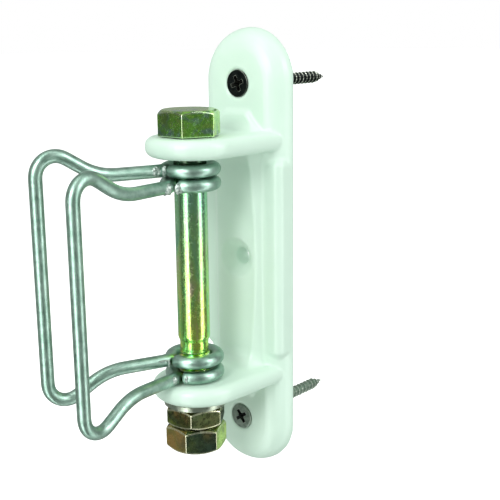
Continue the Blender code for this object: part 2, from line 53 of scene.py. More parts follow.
class Tree:
    """A material's node tree with short ways to add and join nodes."""

    def __init__(self, name):
        self.material = bpy.data.materials.new(name)
        self.material.use_nodes = True
        self.nodes = self.material.node_tree.nodes
        self.links = self.material.node_tree.links
        self.shader = self.nodes["Principled BSDF"]

    def add(self, kind, **settings):
        """A new node with its settings."""
        node = self.nodes.new(kind)
        for key, value in settings.items():
            setattr(node, key, value)
        return node

    def join(self, source, target):
        self.links.new(source, target)

    def put(self, node, name, value):
        """A socket takes a number, a colour or another node's output."""
        socket = node.inputs[name]
        if isinstance(value, bpy.types.NodeSocket):
            self.join(value, socket)
        else:
            socket.default_value = value

    def coordinates(self, scale=(1.0, 1.0, 1.0)):
        """Places on the object in metres, scaled along each axis."""
        source = self.add("ShaderNodeTexCoord")
        mapping = self.add("ShaderNodeMapping")
        mapping.inputs["Scale"].default_value = scale
        self.join(source.outputs["Object"], mapping.inputs["Vector"])
        return mapping.outputs["Vector"]

    def noise(self, vector, scale, detail=3.0, roughness=0.5, distortion=0.0):
        node = self.add("ShaderNodeTexNoise")
        self.put(node, "Vector", vector)
        self.put(node, "Scale", scale)
        self.put(node, "Detail", detail)
        self.put(node, "Roughness", roughness)
        self.put(node, "Distortion", distortion)
        return node.outputs["Fac"]

    def ramp(self, factor, stops):
        """A colour read off a row of (position, colour) stops."""
        node = self.add("ShaderNodeValToRGB")
        while len(node.color_ramp.elements) < len(stops):
            node.color_ramp.elements.new(0.5)
        for element, (position, colour) in zip(node.color_ramp.elements, stops):
            element.position = position
            element.color = (*colour, 1.0)
        self.join(factor, node.inputs["Fac"])
        return node.outputs["Color"]

    def remap(self, value, low, high, to_low, to_high):
        """The value moved from one range to another, and held within it."""
        node = self.add("ShaderNodeMapRange")
        self.put(node, "Value", value)
        self.put(node, "From Min", low)
        self.put(node, "From Max", high)
        self.put(node, "To Min", to_low)
        self.put(node, "To Max", to_high)
        return node.outputs["Result"]

    def math(self, operation, a, b=0.0):
        node = self.add("ShaderNodeMath", operation=operation)
        for index, value in enumerate((a, b)):
            if isinstance(value, bpy.types.NodeSocket):
                self.join(value, node.inputs[index])
            else:
                node.inputs[index].default_value = value
        return node.outputs[0]

    def uneven(self, vector, scale, low, high):
        """A value that wanders between low and high over the surface."""
        return self.remap(self.noise(vector, scale), 0.3, 0.7, low, high)

    def attribute(self, name, output="Fac"):
        """A value that a mesh stores for each vertex or face."""
        return self.add("ShaderNodeAttribute", attribute_name=name).outputs[output]

    def mix(self, factor, a, b):
        """Colour a at a factor of 0, colour b at 1."""
        node = self.add("ShaderNodeMix", data_type="RGBA", blend_type="MIX")
        for name, value in (("Factor", factor), ("A", a), ("B", b)):
            socket = [
                s
                for s in node.inputs
                if s.name == name and (s.type == "RGBA" or name == "Factor")
            ][0]
            if isinstance(value, bpy.types.NodeSocket):
                self.join(value, socket)
            elif name == "Factor":
                socket.default_value = value
            else:
                socket.default_value = (*value, 1.0)
        return [s for s in node.outputs if s.type == "RGBA"][0]

    def bump(self, height, strength, distance, normal=None):
        node = self.add("ShaderNodeBump")
        self.put(node, "Height", height)
        self.put(node, "Strength", strength)
        self.put(node, "Distance", distance)
        if normal:
            self.join(normal, node.inputs["Normal"])
        return node.outputs["Normal"]

    def finish(self, **sockets):
        """Set the surface's own sockets, with underscores for spaces, and hand over the material."""
        for name, value in sockets.items():
            self.put(self.shader, name.replace("_", " "), value)
        return self.material


def give(obj, material):
    """Put one material on the whole object."""
    obj.data.materials.clear()
    obj.data.materials.append(material)


# Materials. Heights on the bolt are in metres, each a pair between which one look gives way to another

GOLD_TO_GREEN = (-0.024, 0.022)
UNDER_EAR = (0.0296, 0.0312)
EAR_TOP = (0.0405, 0.0412)
# Near-black colour of the painted shade on the bolt in the gap under the upper ear
GAP_SHADE_COLOUR = (0.03, 0.035, 0.02)


def plastic_material():
    """Glossy moulded plastic with a faint green cast, very slightly uneven."""
    t = Tree("white_plastic")
    where = t.coordinates()
    mottle = t.noise(where, 60.0)
    colour = t.ramp(mottle, [(0.3, (0.70, 0.865, 0.755)), (0.7, (0.735, 0.895, 0.79))])
    rough = t.uneven(where, 240.0, 0.30, 0.42)
    flow = t.noise(t.coordinates(scale=(1.0, 1.0, 0.3)), 90.0, 2.0)
    normal = t.bump(flow, 0.25, 0.0004)
    normal = t.bump(t.noise(where, 1500.0, 2.0), 0.10, 0.00006, normal)
    return t.finish(Base_Color=colour, Roughness=rough, Normal=normal)


def wire_material():
    """Drawn galvanised wire: fine lines along it, soft cloudy spots of dull zinc."""
    t = Tree("galvanised_wire")
    where = t.coordinates()
    lines = t.add("ShaderNodeMapping")
    t.join(t.attribute("wire_place", "Vector"), lines.inputs["Vector"])
    lines.inputs["Scale"].default_value = (0.06, 1.0, 1.0)
    drawn = t.noise(lines.outputs["Vector"], 2600.0, 3.0, 0.6)
    clouds = t.noise(where, 330.0, 4.0, 0.6)
    tones = [(0.3, (0.22, 0.355, 0.285)), (0.5, (0.31, 0.46, 0.385)), (0.7, (0.40, 0.56, 0.48))]
    colour = t.ramp(clouds, tones)
    rough = t.uneven(where, 700.0, 0.32, 0.46)
    normal = t.bump(drawn, 0.20, 0.00007)
    normal = t.bump(t.noise(where, 1800.0), 0.18, 0.00006, normal)
    return t.finish(Base_Color=colour, Roughness=rough, Metallic=1.0, Normal=normal)


def weld_material():
    """Bare rough zinc, paler than the wire."""
    t = Tree("weld")
    where = t.coordinates()
    colour = t.ramp(t.noise(where, 1600.0), [(0.35, (0.22, 0.29, 0.26)), (0.65, (0.60, 0.68, 0.63))])
    rough = t.uneven(where, 900.0, 0.30, 0.50)
    normal = t.bump(t.noise(where, 2200.0, 3.0, 0.6), 0.6, 0.0002)
    return t.finish(Base_Color=colour, Roughness=rough, Metallic=1.0, Normal=normal)


def shank_colour(t, height, streaks):
    """Streaky green with teal towards the head, and gold low down."""
    upper = t.ramp(
        streaks,
        [
            (0.30, (0.20, 0.46, 0.30)),
            (0.45, (0.30, 0.62, 0.40)),
            (0.55, (0.26, 0.60, 0.28)),
            (0.70, (0.46, 0.58, 0.50)),
        ],
    )
    lower = t.ramp(
        streaks,
        [
            (0.30, (0.16, 0.52, 0.30)),
            (0.42, (0.34, 0.76, 0.14)),
            (0.55, (0.62, 0.80, 0.12)),
            (0.70, (0.82, 0.60, 0.34)),
        ],
    )
    return t.mix(t.remap(height, *GOLD_TO_GREEN, 1.0, 0.0), upper, lower)


def head_colour(t, where):
    """Mottled green, with each flat's tint in patches, the tints partly the plating's own and partly
    painted reflection and shade.
    """
    mottle = t.ramp(
        t.noise(where, 260.0, 4.0, 0.6, 0.6),
        [
            (0.34, (0.13, 0.24, 0.22)),
            (0.45, (0.27, 0.46, 0.33)),
            (0.53, (0.20, 0.52, 0.06)),
            (0.68, (0.46, 0.66, 0.18)),
        ],
    )
    share = t.remap(t.noise(where, 190.0), 0.44, 0.56, 0.1, 0.9)
    return t.mix(share, mottle, t.attribute("flat_tint", "Color"))


def bolt_material():
    """Yellow passivated zinc, mottled and speckled, with pale edges painted as highlights and painted
    shade in the gap under the upper ear.
    """
    t = Tree("bolt_zinc")
    where = t.coordinates()
    split = t.add("ShaderNodeSeparateXYZ")
    t.join(where, split.inputs[0])
    height = split.outputs["Z"]
    tall = t.coordinates(scale=(1.0, 1.0, 0.22))
    streaks = t.noise(tall, 330.0, 4.0, 0.55, 0.4)
    above_ear = t.remap(height, *EAR_TOP, 0.0, 1.0)
    colour = t.mix(above_ear, shank_colour(t, height, streaks), head_colour(t, where))
    speckle = t.remap(t.noise(where, 2400.0, 2.0, 0.7), 0.58, 0.66, 0.0, 1.0)
    colour = t.mix(t.math("MULTIPLY", speckle, 0.55), colour, (0.62, 0.68, 0.58))
    # Painted shade: the bolt turns near black from just under the upper ear up to the head, where the gap
    # lies in shade.
    gap_shade = t.math("MULTIPLY", t.remap(height, *UNDER_EAR, 0.0, 1.0), t.remap(height, *EAR_TOP, 1.0, 0.0))
    colour = t.mix(t.math("MULTIPLY", gap_shade, 0.85), colour, GAP_SHADE_COLOUR)
    # Painted highlight: pale colour along the sharp outward edges.
    colour = t.mix(t.math("MULTIPLY", t.attribute("edge"), 0.6), colour, (0.80, 0.84, 0.66))
    rough = t.uneven(where, 900.0, 0.13, 0.30)
    normal = t.bump(t.noise(where, 1700.0, 3.0, 0.6), 0.22, 0.00008)
    normal = t.bump(t.noise(tall, 500.0, 2.0), 0.15, 0.0001, normal)
    return t.finish(Base_Color=colour, Roughness=rough, Metallic=1.0, Normal=normal)


def nut_material():
    """Dark yellow zinc: olive, brown and near-black green flats whose tints are partly painted reflection
    and shade, with pale edges painted as highlights.
    """
    t = Tree("nut_zinc")
    where = t.coordinates()
    colour = t.ramp(
        t.noise(where, 95.0, 2.0, 0.5, 0.3),
        [
            (0.36, (0.34, 0.21, 0.08)),
            (0.45, (0.17, 0.16, 0.06)),
            (0.53, (0.09, 0.13, 0.07)),
            (0.62, (0.21, 0.27, 0.06)),
            (0.74, (0.42, 0.50, 0.14)),
        ],
    )
    speckle = t.remap(t.noise(where, 2200.0, 2.0, 0.7), 0.58, 0.67, 0.0, 1.0)
    colour = t.mix(t.math("MULTIPLY", speckle, 0.4), colour, (0.42, 0.46, 0.30))
    share = t.remap(t.noise(where, 160.0), 0.40, 0.60, 0.35, 0.95)
    colour = t.mix(share, colour, t.attribute("flat_tint", "Color"))
    # Painted highlight: pale colour along the sharp outward edges.
    colour = t.mix(t.math("MULTIPLY", t.attribute("edge"), 0.8), colour, (0.90, 0.90, 0.66))
    rough = t.uneven(where, 800.0, 0.20, 0.40)
    normal = t.bump(t.noise(where, 1500.0, 3.0, 0.6), 0.25, 0.00009)
    return t.finish(Base_Color=colour, Roughness=rough, Metallic=1.0, Normal=normal)


def washer_material():
    """Plain zinc, a little dull and cloudy."""
    t = Tree("washer_zinc")
    where = t.coordinates()
    clouds = t.noise(where, 300.0, 4.0)
    colour = t.ramp(clouds, [(0.3, (0.24, 0.28, 0.22)), (0.7, (0.42, 0.48, 0.38))])
    rough = t.uneven(where, 800.0, 0.25, 0.42)
    normal = t.bump(t.noise(where, 1500.0), 0.2, 0.00008)
    return t.finish(Base_Color=colour, Roughness=rough, Metallic=1.0, Normal=normal)


def screw_material(name, dark, light, glint_colour, roughness):
    """A dull coated screw, with painted shade turning its recess near black and painted glints along its
    edges.
    """
    t = Tree(name)
    where = t.coordinates()
    colour = t.ramp(t.noise(where, 900.0, 4.0), [(0.3, dark), (0.7, light)])
    glint_share = t.remap(t.noise(where, 700.0, 2.0), 0.4, 0.6, 0.4, 1.0)
    # Painted glints: pale colour along the head's sharp edges.
    colour = t.mix(t.math("MULTIPLY", t.attribute("edge"), glint_share), colour, glint_colour)
    # Painted shade: the faces inside the recess turn near black.
    colour = t.mix(t.math("MULTIPLY", t.attribute("recess"), 0.9), colour, (0.006, 0.006, 0.006))
    rough = t.uneven(where, 600.0, roughness - 0.08, roughness + 0.08)
    normal = t.bump(t.noise(where, 2000.0), 0.2, 0.00006)
    return t.finish(Base_Color=colour, Roughness=rough, Metallic=0.9, Normal=normal)


def mark_edges(piece, sharp=22.0):
    """Store how sharply the surface turns outwards at each vertex, for the pale edges painted as
    highlights.
    """
    mesh = piece.data
    shape = bmesh.new()
    shape.from_mesh(mesh)
    turn = np.zeros(len(shape.verts))
    for edge in shape.edges:
        if len(edge.link_faces) == 2:
            angle = edge.calc_face_angle_signed(0.0)
            for v in edge.verts:
                turn[v.index] = max(turn[v.index], angle)
    value = np.clip((np.degrees(turn) - 0.3 * sharp) / (0.5 * sharp), 0.0, 1.0)
    shape.free()
    layer = mesh.attributes.new("edge", "FLOAT", "POINT")
    layer.data.foreach_set("value", value.astype(np.float32))


# Shapes. Lengths are in millimetres; the bolt's axis is at X 0, Y -30

BOLT_Y = -30.0
SHANK_RADIUS = 5.0
ROLLED_RADIUS = 4.42
HEAD_BOTTOM = 41.35
HEAD_TURN = 1.4
UPPER_NUT_TURN = 4.2
LOWER_NUT_TURN = -6.7
ACROSS_FLATS = 17.0
CORNER_SHARPNESS = 110.0
CHAMFER_CIRCLE = 8.05
THREAD_START = -25.4
TIP_RADIUS = 3.9
THREAD_PITCH = 1.5
THREAD_CREST = 4.93
THREAD_ROOT = 4.12
THREAD_ROWS = 9
WASHER_RADIUS = 9.97
WASHER_BORE = 5.45
WASHER_MIDDLE = 7.5

BRACKET_VOXEL = 0.38
BRACKET_SMOOTHING = 8

# A wire loop's own frame has +X towards its bar. Angles round an eye start there
WIRE_RADIUS = 2.0
EYE_RADIUS = 7.35
EYE_START = 14.0
EYE_END = 339.0
NECK_BLEND = 2.6
ARM_REACH = 29.2
ARM_BLEND = 19.7
BAR_REACH = 47.5
CORNER_HEIGHT = 11.5
CORNER_BLEND = 5.8
CUT_EDGE = 0.90

# Each loop's turn about the bolt, its lift, and the height of its upper eye above its middle
LOOP_A = (22.2, 1.7, 29.6)
LOOP_B = (-2.3, -2.9, 29.9)

SCREW_HEAD_RADIUS = 4.22
SCREW_NECK_RADIUS = 2.03
SCREW_CORE_RADIUS = 1.42
SCREW_PITCH = 1.9
SCREW_THREAD_ROWS = 12
SCREW_THREAD_START = -4.3

# The cutters of a screw's cross recess: half length and half width of a wing, and depths
WING_AT_TOP = (2.75, 0.66)
WING_AT_BOTTOM = (1.1, 0.42)
WING_DEPTH = 2.1
CONE_DEPTH = 2.5
CUTTER_TOP = 0.4

# Colours of single flats: partly the plating's own, partly painted reflection and shade

OLIVE, DEEP_GREEN, BROWN = (0.10, 0.12, 0.04), (0.08, 0.13, 0.085), (0.48, 0.31, 0.10)
YELLOW_GREEN, LEAF, SLATE = (0.58, 0.76, 0.17), (0.30, 0.72, 0.10), (0.17, 0.30, 0.26)
HEAD_END_TINT = (0.36, 0.56, 0.14)
HEAD_TINTS = (YELLOW_GREEN, SLATE, LEAF, SLATE, (0.22, 0.36, 0.08), LEAF)
UPPER_NUT_TINTS = (DEEP_GREEN, BROWN, OLIVE, BROWN, OLIVE, (0.13, 0.17, 0.07))
LOWER_NUT_TINTS = (YELLOW_GREEN, OLIVE, BROWN, DEEP_GREEN, BROWN, DEEP_GREEN)


def sides(count):
    """Even angles round a circle, in radians."""
    return np.linspace(0.0, 2 * math.pi, count, endpoint=False)


def skin(name, rows, material, stands_for, body, ring=True):
    """A smooth mesh through rows of points, each row a closed ring of the same count.
    With ring, the last row joins the first, as on a nut or a washer; otherwise the ends are capped."""
    rows = [np.asarray(row, float) for row in rows]
    across = len(rows[0])
    points = np.concatenate(rows) * MM
    faces = []
    count = len(rows)
    for i in range(count if ring else count - 1):
        low, high = i * across, ((i + 1) % count) * across
        for j in range(across):
            k = (j + 1) % across
            faces.append((low + j, low + k, high + k, high + j))
    points = [tuple(p) for p in points]
    if not ring:
        for start, flip in ((0, True), ((count - 1) * across, False)):
            middle = len(points)
            points.append(tuple(np.mean(points[start : start + across], axis=0)))
            for j in range(across):
                k = (j + 1) % across
                tri = (start + j, start + k, middle)
                faces.append(tuple(reversed(tri)) if flip else tri)
    mesh = bpy.data.meshes.new(name)
    mesh.from_pydata(points, [], faces)
    mesh.validate()
    shape = bmesh.new()
    shape.from_mesh(mesh)
    bmesh.ops.recalc_face_normals(shape, faces=shape.faces)
    if shape.calc_volume(signed=True) < 0:
        bmesh.ops.reverse_faces(shape, faces=shape.faces)
    shape.to_mesh(mesh)
    shape.free()
    return stand_in(mesh, name, material, stands_for, body)


def stand_in(mesh, name, material, stands_for, body, sharp=35.0):
    """Show a mesh in place of its CAD node, on the same body."""
    piece = bpy.data.objects.new(name, mesh)
    bpy.context.scene.collection.objects.link(piece)
    mesh.shade_smooth()
    mesh.set_sharp_from_angle(angle=math.radians(sharp))
    give(piece, material)
    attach(piece, body)
    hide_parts(stands_for)
    return piece


def hexagon_sides(turn):
    """Angles for a hexagon's columns, crowded where its corners round over."""
    near = (-1.9, -1.1, -0.5, 0.0, 0.5, 1.1, 1.9)
    between = np.linspace(4.2, 55.8, 15)
    one = np.sort(np.concatenate([near, between]))
    return np.radians(np.concatenate([one + turn + 60 * k for k in range(6)]))


def ring_about_bolt(radius, height, angles):
    """A row round the bolt's axis. Radius and height may vary with the angle."""
    radius = np.broadcast_to(radius, angles.shape)
    height = np.broadcast_to(height, angles.shape)
    return np.stack(
        [radius * np.cos(angles), BOLT_Y + radius * np.sin(angles), height], axis=1
    )


def hexagon_radius(angles, turn):
    """Distance from the axis to a hexagon whose corners are a little rounded."""
    total = np.zeros_like(angles)
    for k in range(6):
        facing = np.cos(angles - math.radians(turn + 30 + 60 * k))
        total += np.maximum(facing, 0.0) ** CORNER_SHARPNESS
    return ACROSS_FLATS / 2 / total ** (1 / CORNER_SHARPNESS)


def thread_radius(height, angles, fade, clearance=0.0):
    """The right-hand thread's surface: rounded ridges that rise out of the plain neck."""
    phase = (height / THREAD_PITCH - angles / (2 * math.pi)) % 1.0
    wave = np.abs(phase * 2 - 1)
    wave = wave * wave * (3 - 2 * wave)
    middle = (THREAD_CREST + THREAD_ROOT) / 2
    half = (THREAD_CREST - THREAD_ROOT) / 2
    return middle + half * (2 * wave - 1) * fade + clearance


def rounded(points, steps=4):
    """A profile with its corners rounded: each point is (radius, height, corner size)."""
    profile = []
    for i, (r, z, size) in enumerate(points):
        if size == 0 or i in (0, len(points) - 1):
            profile.append((r, z))
            continue
        here = np.array((r, z))
        back = np.array(points[i - 1][:2]) - here
        on = np.array(points[i + 1][:2]) - here
        start = here + back / np.linalg.norm(back) * size
        end = here + on / np.linalg.norm(on) * size
        for t in np.linspace(0.0, 1.0, steps + 1):
            spot = start * (1 - t) ** 2 + here * 2 * t * (1 - t) + end * t * t
            profile.append((spot[0], spot[1]))
    return profile


def chamfer_rows(angles, outer, end, inwards, soft):
    """Rows from a hexagon's end face out over its chamfer cone, and how far the cone drops at its rim."""
    drop = 0.07 + (outer - CHAMFER_CIRCLE) * math.tan(math.radians(30))
    rows = [
        ring_about_bolt(CHAMFER_CIRCLE + dr, end + inwards * dz, angles)
        for dr, dz in ((-0.3, 0.0), (-0.12, 0.01), (0.0, 0.05), (0.12, 0.12))
    ]
    inner = CHAMFER_CIRCLE + 0.12
    reach = outer - soft - inner
    for t in (0.45, 0.85, 1.0):
        fall = 0.12 + (drop - 0.07) * t * reach / (outer - CHAMFER_CIRCLE)
        rows.append(ring_about_bolt(inner + reach * t, end + inwards * fall, angles))
    return rows, 0.12 + drop


def hexagon_rows(angles, turn, top, bottom, bottom_chamfer):
    """Rows down the outside of a hexagon: chamfer cone, crest, flats, crest and the lower end."""
    outer = hexagon_radius(angles, turn)
    soft = 0.16
    rows, depth = chamfer_rows(angles, outer, top, -1, soft)
    edge = top - depth
    if bottom_chamfer:
        last, depth = chamfer_rows(angles, outer, bottom, 1, soft)
        low = bottom + depth
    else:
        last = [ring_about_bolt(outer - 0.25, bottom, angles)]
        low = np.full_like(angles, bottom + 0.12)
    rows.append(ring_about_bolt(outer - soft * 0.3, edge, angles))
    rows.append(ring_about_bolt(outer, edge - soft, angles))
    rows.append(ring_about_bolt(outer, edge - soft * 1.8, angles))
    for t in (0.2, 0.4, 0.6, 0.8):
        rows.append(ring_about_bolt(outer, (edge - soft) * (1 - t) + (low + soft) * t, angles))
    rows.append(ring_about_bolt(outer, low + soft * 1.8, angles))
    rows.append(ring_about_bolt(outer, low + soft, angles))
    rows.append(ring_about_bolt(outer - soft * 0.3, low, angles))
    return rows + last[::-1]


def tint_flats(piece, turn, colours, ends):
    """Each flat gets one colour, counted from the first corner: partly the plating's own, partly painted
    reflection and shade. One more colour serves both ends and the bore."""
    mesh = piece.data
    spots = np.zeros(len(mesh.vertices) * 3, np.float32)
    mesh.vertices.foreach_get("co", spots)
    spots = spots.reshape(-1, 3)
    angle = np.degrees(np.arctan2(spots[:, 1] - BOLT_Y * MM, spots[:, 0])) - turn
    flat = (angle % 360 // 60).astype(int) % 6
    values = np.ones((len(spots), 4), np.float32)
    values[:, :3] = np.array(colours)[flat]
    radius = np.hypot(spots[:, 0], spots[:, 1] - BOLT_Y * MM)
    values[radius < 8.2 * MM, :3] = ends
    layer = mesh.attributes.new("flat_tint", "FLOAT_COLOR", "POINT")
    layer.data.foreach_set("color", values.ravel())


def make_bolt(material):
    """Head, plain shank, shoulder, rolled neck and thread, as one skin from the head's top down."""
    angles = hexagon_sides(HEAD_TURN)
    end, head_top = (corner.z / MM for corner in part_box("hex_bolt"))
    rows = [ring_about_bolt(r, head_top, angles) for r in (1.0, 3.0, 5.0, 6.5, 7.4)]
    rows += hexagon_rows(angles, HEAD_TURN, head_top, HEAD_BOTTOM, False)
    under_head = [(8.0, HEAD_BOTTOM, 0), (SHANK_RADIUS, HEAD_BOTTOM, 0.5), (SHANK_RADIUS, 30.0, 0)]
    for r, z in rounded(under_head):
        rows.append(ring_about_bolt(r, z, angles))
    for z in np.linspace(29.0, -20.0, 50):
        rows.append(ring_about_bolt(SHANK_RADIUS, z, angles))
    neck = rounded(
        [
            (SHANK_RADIUS, -20.3, 0),
            (SHANK_RADIUS, -21.1, 0.5),
            (4.45, -22.5, 0.6),
            (ROLLED_RADIUS, -25.2, 0),
        ],
        6,
    )
    for r, z in neck:
        rows.append(ring_about_bolt(r, z, angles))
    step = THREAD_PITCH / THREAD_ROWS
    for i in range(int((THREAD_START - end - 0.05) / step)):
        z = THREAD_START - step * i
        fade = min(1.0, (THREAD_START - z) / 1.2)
        swell = ROLLED_RADIUS * (1 - fade)
        r = thread_radius(z, angles, fade) * fade + swell
        r = np.minimum(r, TIP_RADIUS + max(0.0, z - end) * 0.9 + 0.15)
        rows.append(ring_about_bolt(r, z, angles))
    rows.append(ring_about_bolt(TIP_RADIUS, end, angles))
    for r in (3.0, 1.5):
        rows.append(ring_about_bolt(r, end + 0.05, angles))
    bolt = skin("bolt_fine", rows, material, "hex_bolt", "bracket", ring=False)
    mark_edges(bolt)
    tint_flats(bolt, HEAD_TURN, HEAD_TINTS, HEAD_END_TINT)


def make_nut(name, node, turn, tints, material):
    """Both faces chamfered, with a real thread in the bore that follows the bolt's."""
    angles = hexagon_sides(turn)
    low, high = (corner.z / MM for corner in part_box(node))
    rows = [ring_about_bolt(r, high, angles) for r in (5.6, 6.4, 7.2)]
    rows += hexagon_rows(angles, turn, high, low, True)
    rows += [ring_about_bolt(r, low, angles) for r in (7.2, 6.4, 5.6)]
    count = int((high - low) * THREAD_ROWS / THREAD_PITCH)
    for i in range(1, count):
        z = low + (high - low) * i / count
        mouth = 5.55 - min(z - low, high - z) * 1.2
        r = np.maximum(thread_radius(z, angles, 1.0, 0.1), mouth)
        rows.append(ring_about_bolt(r, z, angles))
    nut = skin(name, rows, material, node, "bracket")
    mark_edges(nut)
    tint_flats(nut, turn, tints, OLIVE)


def make_washer(material):
    """A stamped ring: its upper edges rounded by the punch, its lower ones almost sharp, its rim a
    little uneven."""
    angles = sides(160)
    low, high = (corner.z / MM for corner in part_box("flat_washer"))
    profile = rounded(
        [
            (WASHER_MIDDLE, high, 0),
            (WASHER_RADIUS, high, 0.45),
            (WASHER_RADIUS, low, 0.12),
            (WASHER_BORE, low, 0.12),
            (WASHER_BORE, high, 0.4),
            (WASHER_MIDDLE, high, 0),
        ],
        5,
    )
    wave = 0.02 * np.sin(angles * 5 + 1.0) + 0.015 * np.sin(angles * 11)
    rows = []
    for r, z in profile[:-1]:
        rows.append(ring_about_bolt(r + (wave if r > 8 else 0.0), z, angles))
    skin("washer_fine", rows, material, "flat_washer", "bracket")


def make_bracket(material):
    """The moulding with every edge and inner corner softened, as the real one has."""
    source = NODES["bracket"].data
    work = bpy.data.objects.new("work", source.copy())
    bpy.context.scene.collection.objects.link(work)
    remesh = work.modifiers.new("remesh", "REMESH")
    remesh.mode = "VOXEL"
    remesh.voxel_size = BRACKET_VOXEL * MM
    soften = work.modifiers.new("soften", "SMOOTH")
    soften.factor = 0.5
    soften.iterations = BRACKET_SMOOTHING
    graph = bpy.context.evaluated_depsgraph_get()
    mesh = bpy.data.meshes.new_from_object(work.evaluated_get(graph))
    bpy.data.objects.remove(work, do_unlink=True)
    stand_in(mesh, "bracket_fine", material, "bracket", "bracket", sharp=80.0)


# Wire loops


def bend(points, reaches, steps):
    """A path through the points with a round bend in place of each inner corner."""
    path = [np.array(points[0], float)]
    for before, corner, after, reach in zip(points, points[1:], points[2:], reaches):
        before, corner, after = (np.array(p, float) for p in (before, corner, after))
        into = (corner - before) / np.linalg.norm(corner - before)
        out = (after - corner) / np.linalg.norm(after - corner)
        angle = math.acos(float(into @ out))
        normal = out - into * (into @ out)
        normal /= np.linalg.norm(normal)
        radius = reach / math.tan(angle / 2)
        centre = corner - into * reach + normal * radius
        for i in range(steps + 1):
            a = angle * i / steps
            path.append(centre - normal * radius * math.cos(a) + into * radius * math.sin(a))
    path.append(np.array(points[-1], float))
    return path


def half_loop(spacing):
    """From the cut end of the upper eye to the middle of the bar, +X towards the bar."""
    eye = [
        np.array((EYE_RADIUS * math.cos(a), EYE_RADIUS * math.sin(a), spacing))
        for a in np.radians(np.linspace(EYE_START, EYE_END, 109))
    ]
    diagonal = math.atan2(CORNER_HEIGHT, BAR_REACH - ARM_REACH)
    corners = [
        eye[-1],
        (EYE_RADIUS / math.cos(math.radians(EYE_END)), 0.0, spacing),
        (ARM_REACH, 0.0, spacing),
        (BAR_REACH, 0.0, spacing + CORNER_HEIGHT),
        (BAR_REACH, 0.0, 0.0),
    ]
    reaches = [
        NECK_BLEND,
        ARM_BLEND * math.tan(diagonal / 2),
        CORNER_BLEND * math.tan((math.pi / 2 + diagonal) / 2),
    ]
    return eye[:-1] + bend(corners, reaches, 24)


def even_steps(path, step):
    """The same path with points an even step apart, its small kinks smoothed out."""
    path = np.array(path)
    lengths = np.concatenate([[0.0], np.cumsum(np.linalg.norm(np.diff(path, axis=0), axis=1))])
    count = int(lengths[-1] / step)
    at = np.linspace(0.0, lengths[-1], count)
    even = np.stack([np.interp(at, lengths, path[:, k]) for k in range(3)], axis=1)
    for _ in range(6):
        even[1:-1] = even[1:-1] * 0.5 + (even[:-2] + even[2:]) * 0.25
    return even, at


def make_loop(name, node, body, turn, lift, spacing, material):
    """One bent wire, cut square at both ends, each cut a little narrower than the wire. It stores how
    far along the wire and where round it each vertex lies, for the drawn lines."""
    half = half_loop(spacing)
    path = half + [p * (1, 1, -1) for p in reversed(half[:-1])]
    path, along = even_steps(path, 0.5)
    spin = np.array(Matrix.Rotation(math.radians(-90 - turn), 3, "Z"))
    path = path @ spin.T + (0.0, BOLT_Y, lift)
    tangents = np.gradient(path, axis=0)
    tangents /= np.linalg.norm(tangents, axis=1)[:, None]
    normal = np.cross(tangents[0], (0, 0, 1))
    angles = sides(28)
    across = WIRE_RADIUS * np.cos(angles)
    up = WIRE_RADIUS * np.sin(angles)
    rows, coordinates = [], []
    for centre, tangent, travelled in zip(path, tangents, along):
        normal = normal - tangent * (normal @ tangent)
        normal /= np.linalg.norm(normal)
        side = np.cross(tangent, normal)
        rows.append(centre + across[:, None] * normal + up[:, None] * side)
        coordinates.append(np.stack([np.full_like(angles, travelled), across, up], axis=1))
    for end in (0, -1):
        rows[end] = path[end] + (rows[end] - path[end]) * CUT_EDGE
    piece = skin(name, rows, material, node, body, ring=False)
    flat = np.concatenate(coordinates)
    values = np.concatenate([flat, flat[[0, -1]]]).astype(np.float32)
    layer = piece.data.attributes.new("wire_place", "FLOAT_VECTOR", "POINT")
    layer.data.foreach_set("vector", values.ravel() * MM)


def make_bead(name, body, turn, lift, spacing, centre, radii, lean, material):
    """A rough lump of weld on a loop's eye. Centre and radii are in the loop's own frame: +X along the
    arm, +Y towards the side of the cut end; lean turns it about the upright."""
    seed = len(name) * 1.37
    shape = bmesh.new()
    bmesh.ops.create_icosphere(shape, subdivisions=4, radius=1.0)
    a, b = math.radians(-90 - turn), math.radians(lean)
    for v in shape.verts:
        rough = noise.fractal(v.co * 1.9 + Vector((seed * 7.3, seed, 0.0)), 0.8, 2.2, 4)
        ridge = noise.noise(v.co * 5.0 + Vector((0.0, seed * 3.1, seed)))
        p = v.co * (1.0 + 0.22 * rough + 0.12 * ridge)
        p = Vector((p.x * radii[0], p.y * radii[1], p.z * radii[2]))
        p = Matrix.Rotation(b, 3, "Z") @ p + Vector((centre[0], centre[1], spacing + centre[2]))
        p = Matrix.Rotation(a, 3, "Z") @ p
        v.co = (p + Vector((0.0, BOLT_Y, lift))) * MM
    mesh = bpy.data.meshes.new(name)
    shape.to_mesh(mesh)
    shape.free()
    piece = bpy.data.objects.new(name, mesh)
    bpy.context.scene.collection.objects.link(piece)
    mesh.shade_smooth()
    give(piece, material)
    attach(piece, body)


